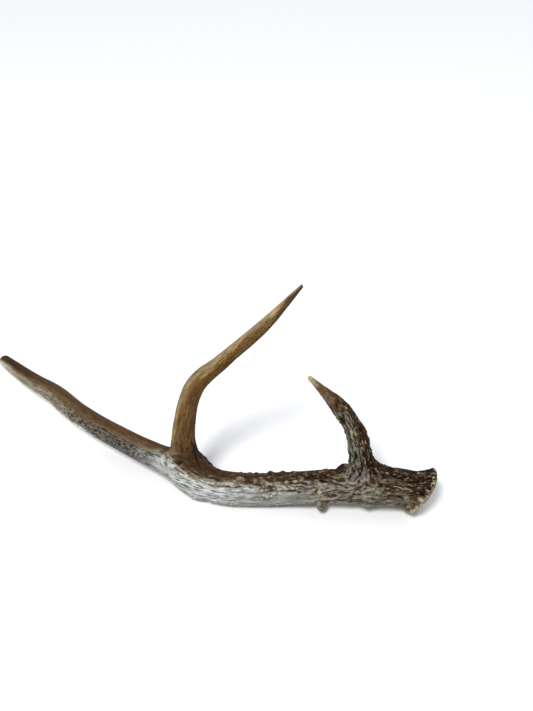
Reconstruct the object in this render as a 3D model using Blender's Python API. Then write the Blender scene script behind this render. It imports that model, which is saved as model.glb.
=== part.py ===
"""A shed deer antler, lying as it comes to rest on a flat surface.

Three solids: the main beam with its burr, the brow tine and the second tine. Each tine is
parted from the beam just above the swelling that it grows from. All sizes are in metres,
+Z is up, and the origin is at the middle of the bottom of the whole antler's box.
"""

import math
import random

import bmesh
import bpy
import numpy as np

COLLECTION_NAME = "deer_antler"

# The whole antler is moved by this, so that its box stands centred on the origin.
SETTLE = (0.0022, -0.0029, 0.0004)

# Centre-lines, base to tip: x, y, z, half width, half depth.
# On the beam the width is level and the depth is upright. On a tine the width lies
# along the beam and the depth across it.
BEAM_LINE = (
    (0.214, -0.094, 0.0194, 0.0180, 0.0180),
    (0.195, -0.095, 0.0243, 0.0172, 0.0172),
    (0.177, -0.093, 0.0262, 0.0178, 0.0178),
    (0.130, -0.091, 0.0235, 0.0163, 0.0163),
    (0.074, -0.088, 0.0162, 0.0151, 0.0151),
    (0.046, -0.088, 0.0153, 0.0150, 0.0150),
    (0.024, -0.085, 0.0158, 0.0155, 0.0155),
    (0.006, -0.079, 0.0168, 0.0148, 0.0148),
    (-0.014, -0.067, 0.0182, 0.0130, 0.0132),
    (-0.071, -0.029, 0.0215, 0.0113, 0.0115),
    (-0.125, 0.014, 0.0190, 0.0110, 0.0110),
    (-0.156, 0.049, 0.0145, 0.0109, 0.0109),
    (-0.188, 0.080, 0.0100, 0.0090, 0.0090),
    (-0.215, 0.108, 0.0078, 0.0078, 0.0078),
    (-0.229, 0.120, 0.0078, 0.0070, 0.0070),
)
BROW_LINE = (
    (0.158, -0.092, 0.0240, 0.0185, 0.0130),
    (0.155, -0.088, 0.0539, 0.0120, 0.0118),
    (0.150, -0.084, 0.0708, 0.0100, 0.0100),
    (0.143, -0.079, 0.0896, 0.0087, 0.0090),
    (0.132, -0.069, 0.1009, 0.0074, 0.0076),
    (0.115, -0.058, 0.1151, 0.0044, 0.0046),
    (0.104, -0.052, 0.1231, 0.0020, 0.0020),
)
SECOND_LINE = (
    (0.032, -0.083, 0.0150, 0.0120, 0.0110),
    (0.006, -0.075, 0.0296, 0.0158, 0.0125),
    (-0.010, -0.070, 0.0560, 0.0126, 0.0112),
    (-0.010, -0.065, 0.0824, 0.0101, 0.0100),
    (0.002, -0.058, 0.1174, 0.0088, 0.0090),
    (0.026, -0.051, 0.1403, 0.0072, 0.0074),
    (0.064, -0.041, 0.1732, 0.0051, 0.0053),
    (0.098, -0.029, 0.2086, 0.0015, 0.0015),
)

# How finely each branch is cut into sections: sides, first step and last step along it.
BEAM_SIDES = 36
BEAM_STEPS = (0.0038, 0.0085)
TINE_SIDES = 16
ROOT_STEPS = (0.0060, 0.0050)
TINE_STEPS = (0.0055, 0.0070)

# Between a tine and the swelling below it.
PART_GAP = 0.0003

# The last section of a branch lies this far from its tip, and this much of it is rounded.
LAST_SECTION = 0.0006
BEAM_TIP_REACH = 0.0066
TINE_TIP_REACH = 0.0030

# Distances along each centre-line where the tine is parted from its swelling.
BROW_CUT = 0.034
SECOND_CUT = 0.062

# The burr: a crown of knobs round the end of the beam, set askew to it.
BURR_NORMAL = (0.830, -0.259, -0.494)
BURR_TURN_LENGTH = 0.030
CROWN_AT = 0.0045
CROWN_RISE = 0.0040
CROWN_WIDTH = 0.0065
CROWN_KNOB = 0.0011
# The seal, where the antler came away: how far out and how wide each step of its dome is.
# The last is a flat face.
SEAL_RINGS = ((0.0020, 0.0185), (0.0042, 0.0130), (0.0052, 0.0070))

# Ridges run along the antler, strongest near the burr and worn away towards the tip.
BEAM_RIDGE = 0.0010
BEAM_RIDGE_ENDS = (0.20, 0.40)
BROW_RIDGE = 0.0008
SECOND_RIDGE = 0.0003
BROW_LOBES = 5
SECOND_LOBES = 4

# Pearls are small beads of bone, thickest near the burr.
PEARL_HEIGHT = 0.0016
PEARL_SHARE = 0.10
PEARLS_END = 0.24
PEARL_SEED = 7

# Single lumps on the beam: distance from the burr, angle from the top towards the
# front in degrees, height, half width.
BEAM_LUMPS = (
    (0.104, 137, 0.0050, 0.0030),
    (0.103, 63, 0.0016, 0.0026),
    (0.154, 50, 0.0018, 0.0050),
    (0.150, -32, 0.0022, 0.0026),
    (0.137, -30, 0.0020, 0.0026),
    (0.136, 28, 0.0014, 0.0024),
    (0.126, 31, 0.0014, 0.0024),
    (0.059, 138, 0.0024, 0.0032),
    (0.081, -35, 0.0024, 0.0040),
)
LUMP_RADIUS = 0.017


def curve_through(points, count=400):
    """Points at even distances along a smooth curve through the given ones, and the distances."""
    points = np.array(points)
    spans = np.linalg.norm(np.diff(points[:, :3], axis=0), axis=1)
    knots = np.concatenate([[0.0], np.cumsum(spans)])
    slopes = np.gradient(points, knots, axis=0)
    places = np.linspace(0.0, knots[-1], count)
    left = np.clip(np.searchsorted(knots, places, side="right") - 1, 0, len(knots) - 2)
    span = (knots[left + 1] - knots[left])[:, None]
    u = (places[:, None] - knots[left][:, None]) / span
    curve = (
        (2 * u**3 - 3 * u**2 + 1) * points[left]
        + (u**3 - 2 * u**2 + u) * span * slopes[left]
        + (3 * u**2 - 2 * u**3) * points[left + 1]
        + (u**3 - u**2) * span * slopes[left + 1]
    )
    steps = np.linalg.norm(np.diff(curve[:, :3], axis=0), axis=1)
    return curve, np.concatenate([[0.0], np.cumsum(steps)])


class Branch:
    """The centre-line of a beam or a tine, read by distance from its base."""

    def __init__(self, line, facing):
        self.curve, self.distances = curve_through(line)
        self.length = self.distances[-1]
        self.directions = np.gradient(self.curve[:, :3], self.distances, axis=0)
        self.facing = np.array(facing)

    def at(self, distance):
        """Centre, direction, and half width with half depth, at this distance."""
        values = [np.interp(distance, self.distances, column) for column in self.curve.T]
        direction = [np.interp(distance, self.distances, column) for column in self.directions.T]
        return np.array(values[:3]), unit(direction), np.array(values[3:])


def unit(vector):
    return np.array(vector) / np.linalg.norm(vector)


def bell(distance, width):
    return math.exp(-((distance / width) ** 2))


def fade(value, start, end):
    """1 before start, 0 after end and smooth between them."""
    u = min(max((value - start) / (end - start), 0.0), 1.0)
    return 1.0 - u * u * (3.0 - 2.0 * u)


def smooth(angle):
    """The relief of a section with none."""
    return 0.0


def ring(centre, direction, facing, size, sides, relief):
    """One section of this half width and half depth. Angle 0 is on the facing side, and
    relief(angle) is added to the radius."""
    half_width, half_depth = size
    depth_axis = unit(facing - np.dot(facing, direction) * direction)
    width_axis = np.cross(depth_axis, direction)
    points = []
    for side in range(sides):
        angle = 2 * math.pi * side / sides
        across = width_axis * math.sin(angle)
        along = depth_axis * math.cos(angle)
        spread = across * half_width + along * half_depth
        points.append(centre + spread + (across + along) * relief(angle))
    return points


def loft(name, rings, apex=None):
    """A closed mesh through the rings, with a flat first end and a flat or pointed last one."""
    shape = bmesh.new()
    rows = [[shape.verts.new(point) for point in points] for points in rings]
    for lower, upper in zip(rows, rows[1:]):
        for here in range(len(lower)):
            after = (here + 1) % len(lower)
            shape.faces.new((lower[here], lower[after], upper[after], upper[here]))
    shape.faces.new(list(reversed(rows[0])))
    if apex is None:
        shape.faces.new(rows[-1])
    else:
        point = shape.verts.new(apex)
        for here, vertex in enumerate(rows[-1]):
            shape.faces.new((vertex, rows[-1][(here + 1) % len(rows[-1])], point))
    bmesh.ops.translate(shape, verts=shape.verts, vec=SETTLE)
    bmesh.ops.recalc_face_normals(shape, faces=shape.faces)
    mesh = bpy.data.meshes.new(name)
    shape.to_mesh(mesh)
    shape.free()
    mesh.shade_smooth()
    mesh.set_sharp_from_angle(angle=math.radians(50))
    return bpy.data.objects.new(name, mesh)


def tip_rounding(distance, length, reach):
    """How far a section near the tip shrinks, so that the tip ends round."""
    u = max(0.0, (distance - (length - reach)) / reach)
    return math.sqrt(max(0.0, 1.0 - u * u))


def stations(start, end, first_step, last_step):
    """Distances from start to end, whose steps grow evenly from first to last."""
    count = round(2 * (end - start) / (first_step + last_step))
    steps = np.linspace(first_step, last_step, count)
    places = start + np.concatenate([[0.0], np.cumsum(steps)])
    return start + (places - start) * (end - start) / (places[-1] - start)


def beam_relief(distance, pearls):
    """The ridges, crown knobs, lumps and pearls of one section of the beam."""
    ridge = BEAM_RIDGE * fade(distance, *BEAM_RIDGE_ENDS)
    crown = CROWN_RISE * bell(distance - CROWN_AT, CROWN_WIDTH)
    knob = CROWN_KNOB * bell(distance - CROWN_AT, CROWN_WIDTH)
    sway = 1.8 * math.sin(distance / 0.034)
    drift = 1.4 * math.sin(distance / 0.021 + 1.0)

    def relief(angle):
        height = crown + knob * math.cos(BEAM_SIDES / 2 * angle)
        height += ridge * (0.6 * math.sin(8 * angle + sway) + 0.5 * math.sin(13 * angle - drift))
        for place, degrees, rise, width in BEAM_LUMPS:
            turn = math.remainder(angle - math.radians(degrees), 2 * math.pi)
            height += rise * bell(math.hypot(distance - place, turn * LUMP_RADIUS), width)
        return height + pearls.get((round(distance, 6), round(angle, 6)), 0.0)

    return relief


def scatter_pearls(places):
    """Heights of the pearls, by distance and angle, on the rough part of the beam."""
    draw = random.Random(PEARL_SEED)
    pearls = {}
    for place in places:
        for side in range(BEAM_SIDES):
            likely = PEARL_SHARE * fade(place, PEARLS_END / 2, PEARLS_END)
            if draw.random() < likely:
                angle = 2 * math.pi * side / BEAM_SIDES
                pearls[round(place, 6), round(angle, 6)] = PEARL_HEIGHT * draw.uniform(0.5, 1.0)
    return pearls


def make_beam():
    beam = Branch(BEAM_LINE, (0, 0, 1))
    inward = -unit(BURR_NORMAL)
    seal_centre = beam.at(0.0)[0]
    rings = []
    for outward, radius in reversed(SEAL_RINGS):
        centre = seal_centre - inward * outward
        rings.append(ring(centre, inward, beam.facing, (radius, radius), BEAM_SIDES, smooth))
    places = stations(0.0, beam.length - LAST_SECTION, *BEAM_STEPS)
    pearls = scatter_pearls(places)
    for place in places:
        centre, direction, size = beam.at(place)
        direction = unit(direction + (inward - direction) * fade(place, 0.0, BURR_TURN_LENGTH))
        size = size * tip_rounding(place, beam.length, BEAM_TIP_REACH)
        relief = beam_relief(place, pearls)
        rings.append(ring(centre, direction, beam.facing, size, BEAM_SIDES, relief))
    return loft("main_beam", rings, beam.at(beam.length)[0])


def tine_relief(distance, length, ridge, lobes):
    """The ridges of one section of a tine."""
    worn = ridge * fade(distance, 0.5 * length, length)
    sway = 1.5 * math.sin(distance / 0.017)
    return lambda angle: worn * math.sin(lobes * angle + sway)


def tine_rings(branch, places, ridge, lobes):
    rings = []
    for place in places:
        centre, direction, size = branch.at(place)
        size = size * tip_rounding(place, branch.length, TINE_TIP_REACH)
        relief = tine_relief(place, branch.length, ridge, lobes)
        rings.append(ring(centre, direction, branch.facing, size, TINE_SIDES, relief))
    return rings


def make_tine(name, line, cut, ridge, lobes):
    """The swelling that the tine grows from, and the tine beyond it."""
    branch = Branch(line, (0, -1, 0))
    low_places = stations(0.0, cut, *ROOT_STEPS)
    root = loft(name + "_root", tine_rings(branch, low_places, ridge, lobes))
    high_places = stations(cut + PART_GAP, branch.length - LAST_SECTION, *TINE_STEPS)
    tip = branch.at(branch.length)[0]
    return root, loft(name, tine_rings(branch, high_places, ridge, lobes), tip)


def join(target, piece):
    union = target.modifiers.new(piece.name, "BOOLEAN")
    union.operation = "UNION"
    union.solver = "EXACT"
    union.object = piece
    piece.hide_render = True
    piece.display_type = "WIRE"


def finish(target, name, colour, roughness):
    material = bpy.data.materials.new(name)
    material.use_nodes = True
    shader = material.node_tree.nodes["Principled BSDF"]
    shader.inputs["Base Color"].default_value = (*colour, 1.0)
    shader.inputs["Roughness"].default_value = roughness
    shader.inputs["Metallic"].default_value = 0.0
    target.data.materials.append(material)


def main():
    for old in list(bpy.data.objects):
        bpy.data.objects.remove(old)
    parts = bpy.data.collections.new(COLLECTION_NAME)
    helpers = bpy.data.collections.new("joined_shapes")
    bpy.context.scene.collection.children.link(parts)
    bpy.context.scene.collection.children.link(helpers)

    beam = make_beam()
    brow_root, brow = make_tine("brow_tine", BROW_LINE, BROW_CUT, BROW_RIDGE, BROW_LOBES)
    second_root, second = make_tine(
        "second_tine", SECOND_LINE, SECOND_CUT, SECOND_RIDGE, SECOND_LOBES
    )
    for piece in (beam, brow, second):
        parts.objects.link(piece)
    for piece in (brow_root, second_root):
        helpers.objects.link(piece)
        join(beam, piece)

    finish(beam, "weathered_beam_bone", (0.30, 0.25, 0.19), 0.6)
    finish(brow, "rough_brown_bone", (0.17, 0.12, 0.08), 0.65)
    finish(second, "smooth_tan_bone", (0.34, 0.23, 0.12), 0.5)


main()
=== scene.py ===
"""The shed deer antler as it looks: one whole skin of bone from burr to tips.

The skin follows the centre-lines of the solids, fitted a little closer to the real antler. It
is swelled into one form where the tines leave the beam, then carved with the furrows, pearls
and pits of antler. What is worked out for each point of the skin, such as how deep in a furrow
it lies, is kept on the mesh, and the bone's material is painted from that.
"""

import math

import bpy
import numpy as np
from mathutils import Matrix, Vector, noise


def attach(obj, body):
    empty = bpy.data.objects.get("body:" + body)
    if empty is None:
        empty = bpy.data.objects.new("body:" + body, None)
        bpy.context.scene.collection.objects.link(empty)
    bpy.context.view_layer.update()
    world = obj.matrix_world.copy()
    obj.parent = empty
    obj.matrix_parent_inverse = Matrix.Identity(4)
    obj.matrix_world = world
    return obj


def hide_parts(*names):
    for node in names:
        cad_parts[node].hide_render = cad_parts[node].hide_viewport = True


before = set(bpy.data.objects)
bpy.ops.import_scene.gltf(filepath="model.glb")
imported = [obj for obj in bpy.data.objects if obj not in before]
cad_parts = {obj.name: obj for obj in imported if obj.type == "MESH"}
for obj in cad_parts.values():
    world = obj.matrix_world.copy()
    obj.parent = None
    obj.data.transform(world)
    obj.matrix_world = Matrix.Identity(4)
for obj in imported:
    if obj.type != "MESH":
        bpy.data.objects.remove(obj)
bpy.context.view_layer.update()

# ------------ the antler's form, in metres

# The whole antler is moved by this, as the solids are.
SETTLE = np.array((0.0022, -0.0029, 0.0004))

# Centre-lines, base to tip: x, y, z, half width, half depth.
BEAM_LINE = (
    (0.214, -0.0944, 0.0188, 0.0175, 0.0175),
    (0.195, -0.0950, 0.0243, 0.0171, 0.0171),
    (0.177, -0.0930, 0.0261, 0.0174, 0.0174),
    (0.130, -0.0914, 0.0230, 0.0159, 0.0159),
    (0.074, -0.0883, 0.0160, 0.0153, 0.0153),
    (0.046, -0.0880, 0.0154, 0.0154, 0.0154),
    (0.024, -0.0855, 0.0156, 0.0160, 0.0160),
    (0.006, -0.0790, 0.0169, 0.0154, 0.0154),
    (-0.014, -0.0658, 0.0190, 0.0140, 0.0142),
    (-0.071, -0.0294, 0.0211, 0.0115, 0.0117),
    (-0.125, 0.0138, 0.0187, 0.0113, 0.0113),
    (-0.156, 0.0492, 0.0148, 0.0108, 0.0108),
    (-0.188, 0.0800, 0.0101, 0.0091, 0.0091),
    (-0.215, 0.1075, 0.0073, 0.0073, 0.0073),
    (-0.229, 0.1205, 0.0084, 0.0060, 0.0060),
)
BROW_LINE = (
    (0.158, -0.0920, 0.0238, 0.0120, 0.0100),
    (0.153, -0.0880, 0.0538, 0.0112, 0.0110),
    (0.1503, -0.0838, 0.0709, 0.0098, 0.0098),
    (0.1434, -0.0798, 0.0884, 0.0083, 0.0086),
    (0.1328, -0.0693, 0.1003, 0.0079, 0.0081),
    (0.115, -0.0580, 0.1147, 0.0038, 0.0040),
    (0.104, -0.0520, 0.1231, 0.0020, 0.0020),
)
SECOND_LINE = (
    (0.0125, -0.0790, 0.0150, 0.0085, 0.0085),
    (0.0003, -0.0752, 0.0290, 0.0100, 0.0102),
    (-0.0108, -0.0705, 0.0553, 0.0113, 0.0103),
    (-0.0092, -0.0655, 0.0820, 0.0099, 0.0098),
    (0.0023, -0.0570, 0.1185, 0.0088, 0.0090),
    (0.0264, -0.0510, 0.1403, 0.0071, 0.0073),
    (0.064, -0.0410, 0.1730, 0.0057, 0.0059),
    (0.0985, -0.0290, 0.2086, 0.0014, 0.0014),
)
BEAM_END_RADIUS = 0.0062
BROW_END_RADIUS = 0.0020
SECOND_END_RADIUS = 0.0015

# How far the bone fills in where a tine leaves the beam, on the burr's side and on the tip's.
BROW_FILLETS = (0.020, 0.010)
SECOND_FILLETS = (0.008, 0.036)
# The first gives way to the second between these cosines: -1 faces the burr, 1 the beam's tip.
FILLETS_CHANGE = (-0.4, 0.6)

BURR_NORMAL = np.array((0.830, -0.259, -0.494))
# The burr stands out most, and has its largest teeth, this far round in radians.
LARGE_TEETH_TURN = 0.8
# The beam's centre-line runs on past its first point by this much, to carry the burr's rim.
BURR_LEAD = 0.016
CROWN_AT = 0.0045
CROWN_RISE = 0.0040
CROWN_WIDTH = 0.0065
CROWN_LOW_RISE = 0.0006
SEAL_DOME = 0.0050
SEAL_RADIUS = 0.0220
SEAL_EDGE = 0.0030
# Past this many radii the dome runs on straight.
SEAL_REACH = 1.3

# The solids are first melted into cells this wide, then the smooth skin is cut into fine ones.
# Each time the points are drawn to the smooth form in so many rounds.
CELLS_AND_ROUNDS = ((0.0016, 4), (0.00074, 3))
KNOB_ROUNDS = 4
MOST_TRIANGLES = 196000
LINE_STEP = 0.002
CURVE_MARKS = 800
POINTS_AT_ONCE = 20000
# No point is moved further towards the skin than its gap over this.
LEAST_STEEPNESS = 0.4


def unit(vectors):
    vectors = np.asarray(vectors, float)
    return vectors / np.maximum(np.linalg.norm(vectors, axis=-1, keepdims=True), 1e-12)


def dot(first, second_one):
    return (first * second_one).sum(axis=1)


def step_between(values, start, end):
    """0 before start, 1 after end and smooth between them. Start may be the larger."""
    u = np.clip((values - start) / (end - start), 0.0, 1.0)
    return u * u * (3.0 - 2.0 * u)


def bell(values, width):
    return np.exp(-((values / width) ** 2))


def blend(first, second_one, share):
    """First where share is 0, the second where it is 1."""
    share = share if first.ndim == 1 else share[:, None]
    return first + (second_one - first) * share


def along_table(table, places):
    """The table's value at each distance from the base, straight between its rows."""
    rows = np.array(table)
    return np.interp(places, rows[:, 0], rows[:, 1])


def off_middle(degrees, middle):
    """How many degrees round the bone each point lies from this middle."""
    return np.abs((degrees - middle + 180.0) % 360.0 - 180.0)


class Branch:
    """A beam or tine: its centre-line, its thickness and the directions round it."""

    def __init__(self, line, facing, end_radius, lead=0.0):
        points = np.array(line)
        points[:, :3] += SETTLE
        if lead:
            ahead = points[0].copy()
            ahead[:3] += lead * unit(points[0, :3] - points[1, :3])
            points = np.vstack([ahead, points])
        spans = np.linalg.norm(np.diff(points[:, :3], axis=0), axis=1)
        knots = np.concatenate([[0.0], np.cumsum(spans)])
        slopes = np.gradient(points, knots, axis=0)
        marks = np.linspace(0.0, knots[-1], CURVE_MARKS)
        left = np.clip(np.searchsorted(knots, marks, side="right") - 1, 0, len(knots) - 2)
        span = (knots[left + 1] - knots[left])[:, None]
        u = (marks[:, None] - knots[left][:, None]) / span
        curve = (
            (2 * u**3 - 3 * u**2 + 1) * points[left]
            + (u**3 - 2 * u**2 + u) * span * slopes[left]
            + (3 * u**2 - 2 * u**3) * points[left + 1]
            + (u**3 - u**2) * span * slopes[left + 1]
        )
        steps = np.linalg.norm(np.diff(curve[:, :3], axis=0), axis=1)
        distances = np.concatenate([[0.0], np.cumsum(steps)])
        self.lead = lead
        self.length = distances[-1] - lead
        count = int((distances[-1] - end_radius) / LINE_STEP) + 1
        places = np.linspace(0.0, distances[-1] - end_radius, count)
        self.step = places[1]
        read = [np.interp(places, distances, column) for column in curve.T]
        self.centres = np.stack(read[:3], axis=1)
        self.sizes = np.stack(read[3:], axis=1)
        self.directions = unit(np.gradient(self.centres, places, axis=0))
        facing = np.array(facing, float)
        self.depth_axes = unit(facing - (self.directions @ facing)[:, None] * self.directions)
        self.width_axes = np.cross(self.depth_axes, self.directions)

    def nearest(self, points):
        """Where along the centre-line each point lies, counted in its steps."""
        best = np.empty(len(points), int)
        squares = (self.centres**2).sum(axis=1)
        for start in range(0, len(points), POINTS_AT_ONCE):
            some = slice(start, start + POINTS_AT_ONCE)
            best[some] = np.argmin(squares - 2 * points[some] @ self.centres.T, axis=1)
        best = np.clip(best, 1, len(self.centres) - 2)
        found, least = best.astype(float), np.full(len(points), np.inf)
        for first in (best - 1, best):
            start, run = self.centres[first], self.centres[first + 1] - self.centres[first]
            share = np.clip(dot(points - start, run) / dot(run, run), 0.0, 1.0)
            gap = np.linalg.norm(points - start - share[:, None] * run, axis=1)
            found = np.where(gap < least, first + share, found)
            least = np.minimum(gap, least)
        return found

    def pick(self, table, marks):
        low = np.clip(marks.astype(int), 0, len(table) - 2)
        return table[low] + (table[low + 1] - table[low]) * (marks - low)[:, None]

    def marks_at(self, place):
        return np.array([(place + self.lead) / self.step])

    def read(self, points):
        """Each point's gap to the smooth bone, the way out of it, its distance from the base,
        the angle round the bone, and the bone's direction and radius there."""
        marks = self.nearest(points)
        arm = points - self.pick(self.centres, marks)
        reach = np.linalg.norm(arm, axis=1)
        out = arm / np.maximum(reach, 1e-9)[:, None]
        across = dot(out, self.pick(self.width_axes, marks))
        upward = dot(out, self.pick(self.depth_axes, marks))
        angle = np.arctan2(across, upward)
        sizes = self.pick(self.sizes, marks)
        radius = 1.0 / np.hypot(np.sin(angle) / sizes[:, 0], np.cos(angle) / sizes[:, 1])
        return {
            "gap": reach - radius,
            "out": out,
            "place": marks * self.step - self.lead,
            "angle": angle,
            "direction": unit(self.pick(self.directions, marks)),
            "radius": radius,
        }

    def point(self, place, degrees):
        """The point of the smooth bone at this distance and angle."""
        marks = self.marks_at(place)
        turn = math.radians(degrees)
        width, depth = self.pick(self.sizes, marks)[0]
        radius = 1.0 / math.hypot(math.sin(turn) / width, math.cos(turn) / depth)
        across = math.sin(turn) * self.pick(self.width_axes, marks)[0]
        upward = math.cos(turn) * self.pick(self.depth_axes, marks)[0]
        return self.pick(self.centres, marks)[0] + radius * (across + upward)


beam = Branch(BEAM_LINE, (0, 0, 1), BEAM_END_RADIUS, BURR_LEAD)
brow = Branch(BROW_LINE, (0, -1, 0), BROW_END_RADIUS)
second = Branch(SECOND_LINE, (0, -1, 0), SECOND_END_RADIUS)
TINES = ((brow, BROW_FILLETS), (second, SECOND_FILLETS))
SEAL_CENTRE = np.array(BEAM_LINE[0][:3]) + SETTLE
# Two directions in the plane of the burr's rim.
BURR_ACROSS = unit(np.cross(BURR_NORMAL, (0.0, 0.0, 1.0)))
BURR_UPWARD = np.cross(BURR_ACROSS, BURR_NORMAL)


def smooth_least(first, second_one, reach):
    """The lesser of two gaps, rounded over reach where they meet, and the second's share."""
    near = np.clip(1.0 - np.abs(first - second_one) / reach, 0.0, 1.0)
    least = np.minimum(first, second_one) - near * near * reach / 4.0
    share = np.where(first < second_one, near / 2.0, 1.0 - near / 2.0)
    return least, share


def low_side(out):
    """1 on the side of the burr that is low and towards the camera, 0 on the other."""
    lowest = math.cos(LARGE_TEETH_TURN) * BURR_ACROSS - math.sin(LARGE_TEETH_TURN) * BURR_UPWARD
    return 0.5 + 0.5 * np.clip(out @ lowest, -1.0, 1.0)


def behind_seal(points):
    return (SEAL_CENTRE - points) @ BURR_NORMAL


def seal_gap(points):
    """Each point's gap to the low dome that closes the burr, and the way out of it."""
    arm = points - SEAL_CENTRE
    height = arm @ BURR_NORMAL
    spread = arm - height[:, None] * BURR_NORMAL
    radius = np.linalg.norm(spread, axis=1)
    inner = np.minimum(radius, SEAL_REACH * SEAL_RADIUS)
    slope = 2.0 * SEAL_DOME * inner / SEAL_RADIUS**2
    steep = np.sqrt(1.0 + slope**2)
    gap = (height - SEAL_DOME * (1.0 - (inner / SEAL_RADIUS) ** 2)) / steep
    way = BURR_NORMAL + (slope / np.maximum(radius, 1e-9))[:, None] * spread
    return gap, way / steep[:, None]


def skin_gap(points):
    """Each point's gap to the smooth skin of the whole antler, and the way out of it."""
    at_beam = beam.read(points)
    rise = CROWN_RISE + CROWN_LOW_RISE * low_side(at_beam["out"]) ** 2
    flare = rise * bell(behind_seal(points) - CROWN_AT, CROWN_WIDTH)
    end_gap, end_way = seal_gap(points)
    least, share = smooth_least(flare - at_beam["gap"], -end_gap, SEAL_EDGE)
    gap, way = -least, blend(at_beam["out"], end_way, share)
    for tine, (burr_side, tip_side) in TINES:
        at_tine = tine.read(points)
        side = dot(at_tine["out"], at_beam["direction"])
        fillet = burr_side + (tip_side - burr_side) * step_between(side, *FILLETS_CHANGE)
        gap, share = smooth_least(gap, at_tine["gap"], fillet)
        way = blend(way, at_tine["out"], share)
    return gap, way


def drawn_to_skin(points, rounds):
    """The points moved onto the smooth skin, a little closer each round."""
    for _ in range(rounds):
        gap, way = skin_gap(points)
        points = points - (gap / np.maximum(dot(way, way), LEAST_STEEPNESS))[:, None] * way
    return points


def mesh_points(mesh):
    points = np.empty(len(mesh.vertices) * 3, np.float32)
    mesh.vertices.foreach_get("co", points)
    return points.reshape(-1, 3).astype(float)


def set_mesh_points(mesh, points):
    mesh.vertices.foreach_set("co", points.astype(np.float32).ravel())
    mesh.update()


def take_change(piece, change):
    """Makes the piece's mesh what this modifier shows, and takes the modifier off."""
    seen = piece.evaluated_get(bpy.context.evaluated_depsgraph_get())
    mesh = bpy.data.meshes.new_from_object(seen)
    piece.modifiers.remove(change)
    old = piece.data
    piece.data = mesh
    bpy.data.meshes.remove(old)
    mesh.name = piece.name


def cut_into_cells(piece, cell):
    """Makes the piece's mesh anew as one closed skin of even cells."""
    change = piece.modifiers.new("even_cells", "REMESH")
    change.mode = "VOXEL"
    change.voxel_size = cell
    take_change(piece, change)


def smooth_antler():
    """One closed skin over the three solids, drawn to the smooth form."""
    points, faces = [], []
    for name in ("main_beam", "brow_tine", "second_tine"):
        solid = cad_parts[name].data
        first = len(points)
        points += [corner.co.copy() for corner in solid.vertices]
        faces += [[first + corner for corner in face.vertices] for face in solid.polygons]
    mesh = bpy.data.meshes.new("antler")
    mesh.from_pydata(points, [], faces)
    piece = bpy.data.objects.new("antler", mesh)
    bpy.context.scene.collection.objects.link(piece)
    for cell, rounds in CELLS_AND_ROUNDS:
        cut_into_cells(piece, cell)
        set_mesh_points(piece.data, drawn_to_skin(mesh_points(piece.data), rounds))
    return piece


# ------------ the grain of the bone

# The grain is followed this far both ways from each point to draw the furrows out.
TRAIL_STEP = 0.0017
TRAIL_STEPS = 6

# Widths of what is carved, in metres. Each noise is also moved by a number of its own, so that
# no two fall together.
BROAD_FURROWS = 0.0034
FINE_FURROWS = 0.0018
STREAKS_TO_FURROWS = 1.5
SWELLS = 0.018
# The grain of rough bone wanders: how far, over what length, and its seed.
WANDER = 0.8
WANDER_CELL = 0.008
WANDER_SEED = 8

# How far from a fork, in metres, the skin turns from beam to tine.
BROW_TURN = 0.007
SECOND_TURN = 0.006
# The web that the second tine rises from counts as the beam's, up to here on the tine.
WEB_END = (0.036, 0.064)
# The grain turns into a tine from this share of it on, and bends this many half widths before.
GRAIN_TURNS_FROM = (0.02, 0.25)
GRAIN_BENDS = 1.2

# How rough each branch is: distance from its base, then 0 for smooth to 1 for bark-like.
BEAM_ROUGH = (
    (0.0, 1.0), (0.09, 0.95), (0.14, 0.80), (0.19, 0.50),
    (0.23, 0.42), (0.27, 0.22), (0.33, 0.12), (0.50, 0.03),
)
BROW_ROUGH = ((0.0, 1.0), (0.03, 1.45), (0.06, 1.45), (0.085, 0.80), (0.10, 0.35), (0.125, 0.05))
SECOND_ROUGH = ((0.0, 0.60), (0.06, 0.35), (0.12, 0.18), (0.25, 0.05))

noise.seed_set(WANDER_SEED)


def noise_at(points):
    return np.array([noise.noise(point) for point in points.tolist()])


def tine_shares(at_beam, at_brow, at_second):
    """For the brow and second tine: 0 off the tine, 1 on it and smooth between them."""
    brow_lead = np.minimum(at_beam["gap"], at_second["gap"]) - at_brow["gap"]
    second_lead = np.minimum(at_beam["gap"], at_brow["gap"]) - at_second["gap"]
    past_web = step_between(at_second["place"], *WEB_END)
    return (
        step_between(brow_lead, -BROW_TURN, BROW_TURN),
        step_between(second_lead, -SECOND_TURN, SECOND_TURN) * past_web,
    )


def grain_way(points):
    """The way the grain runs: along the beam, and from both sides of a tine up into it."""
    at_beam, at_brow, at_second = beam.read(points), brow.read(points), second.read(points)
    way = at_beam["direction"]
    shares = tine_shares(at_beam, at_brow, at_second)
    tines = zip((brow, second), (at_brow, at_second), shares, GRAIN_TURNS_FROM)
    for tine, at_tine, share, least in tines:
        past = dot(points - tine.centres[0], at_beam["direction"])
        side = np.clip(past / (GRAIN_BENDS * tine.sizes[0, 0]), -1.0, 1.0)
        turned = blend(-side[:, None] * at_beam["direction"], at_tine["direction"], share)
        way = np.where((share > least)[:, None], turned, way)
    places = (points / WANDER_CELL).tolist()
    wander = np.array([noise.noise_vector(place)[:] for place in places])
    wild = WANDER * along_table(BEAM_ROUGH, at_beam["place"])
    return unit(unit(way) + wild[:, None] * wander)


def grain_trails(points):
    """The points along the grain, both ways from each point."""
    first = grain_way(points)
    trail = [points]
    for sign in (1.0, -1.0):
        here, way = points, sign * first
        for number in range(TRAIL_STEPS):
            if number % 2:
                turned = grain_way(here)
                way = turned * np.where(dot(turned, way) < 0.0, -1.0, 1.0)[:, None]
            here = here + TRAIL_STEP * way
            trail.append(here)
    return trail


def drawn_out(trail, cell, shift):
    """Noise with cells this wide, drawn out along the grain."""
    total = sum(noise_at(points / cell + shift) for points in trail)
    return total / total.std()


# ------------ pearls, knobs and teeth

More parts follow.
